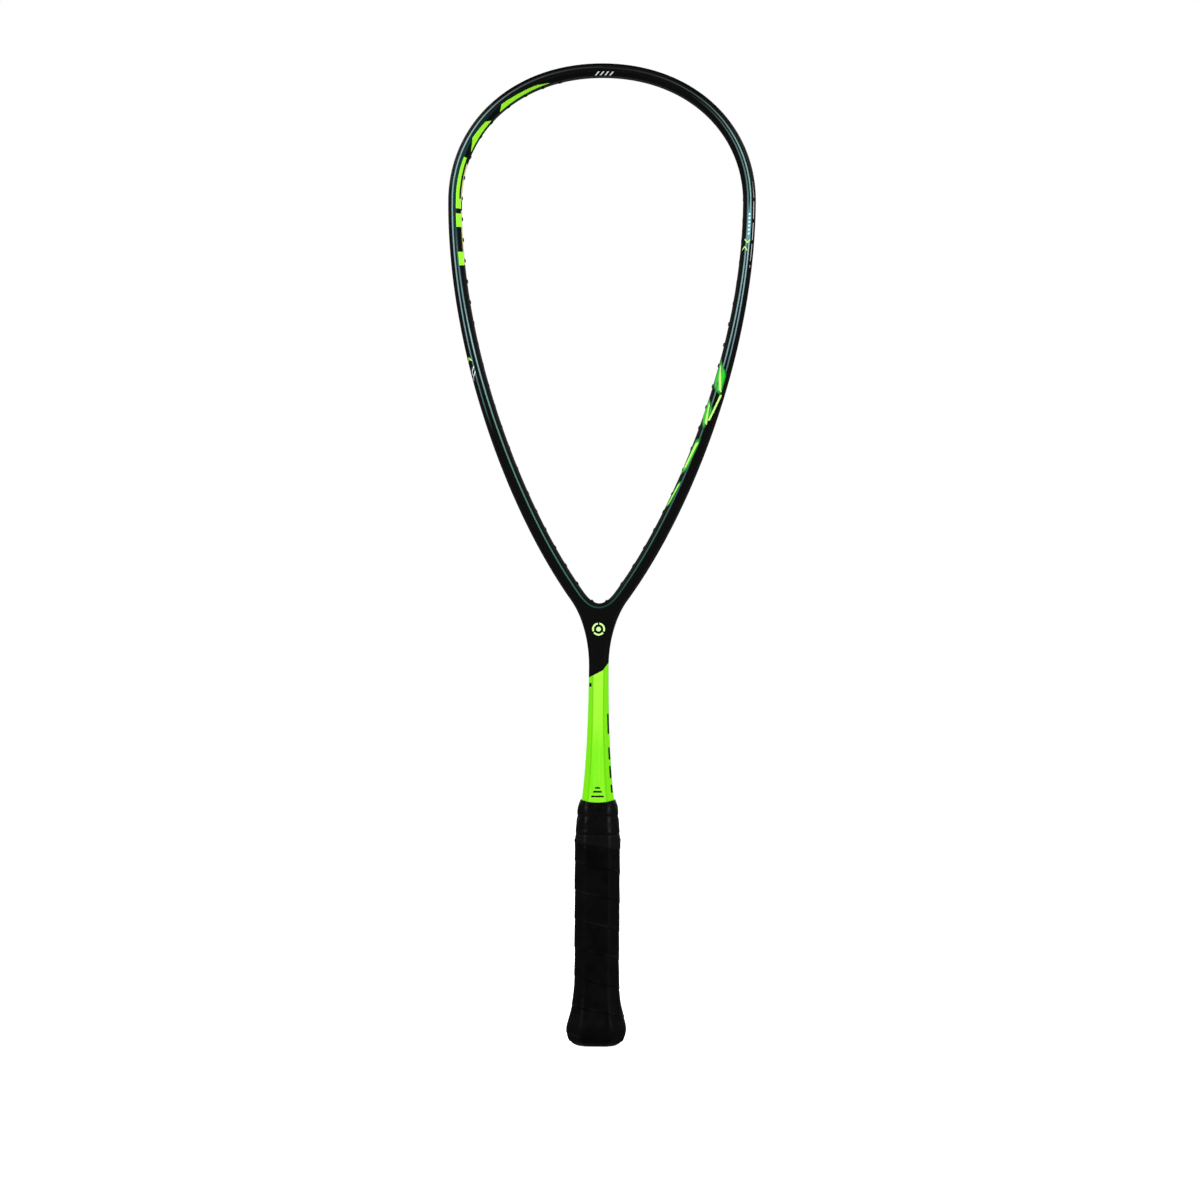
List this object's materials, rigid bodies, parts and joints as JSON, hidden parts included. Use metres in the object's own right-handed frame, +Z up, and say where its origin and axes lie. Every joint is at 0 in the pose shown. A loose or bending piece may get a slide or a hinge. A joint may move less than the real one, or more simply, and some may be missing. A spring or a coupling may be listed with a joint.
{
  "type": "squash racket",
  "caption": "Unstrung squash racket: open teardrop hoop, throat and faceted shaft moulded in one hollow piece, with bumper, string grommets and a wrapped octagonal handle.",
  "frame": {"origin": "centre of the flat end of the butt", "axes": "+Z up the shaft to the crown of the hoop, -Y out of the front face, +X to the right as seen from the front"},
  "size_m": [0.215, 0.0384, 0.686],
  "materials": {
    "frame_lacquer": "lacquered carbon composite, satin black with a teal face band and a gloss lime green shaft",
    "core_foam": "rigid closed-cell foam, hidden inside",
    "nylon": "black moulded nylon",
    "pallet_foam": "moulded polyurethane foam, hidden under the wrap",
    "weight_rubber": "grey silicone rubber, hidden inside",
    "cap_plastic": "black moulded plastic, fine grain",
    "staple_wire": "flat steel wire, hidden under the wrap",
    "grip_skin": "black synthetic leather, tacky and perforated",
    "tape": "black stretched vinyl tape",
    "collar_rubber": "black smooth rubber"
  },
  "bodies": {
    "root": {"frame": "frame_lacquer", "throat_foam_core": "core_foam", "bumper_guard": "nylon", "grommet_strip_left": "nylon", "grommet_strip_right": "nylon", "throat_grommet_left_1": "nylon", "throat_grommet_left_2": "nylon", "throat_grommet_left_3": "nylon", "throat_grommet_right_1": "nylon", "throat_grommet_right_2": "nylon", "throat_grommet_right_3": "nylon", "handle_pallet_front": "pallet_foam", "handle_pallet_back": "pallet_foam", "shaft_end_plug": "core_foam", "balance_weight": "weight_rubber", "butt_cap": "cap_plastic", "butt_plug": "cap_plastic", "butt_staple_front": "staple_wire", "butt_staple_back": "staple_wire", "grip_wrap": "grip_skin", "finishing_tape": "tape", "grip_collar": "collar_rubber"}
  },
  "joints": []
}
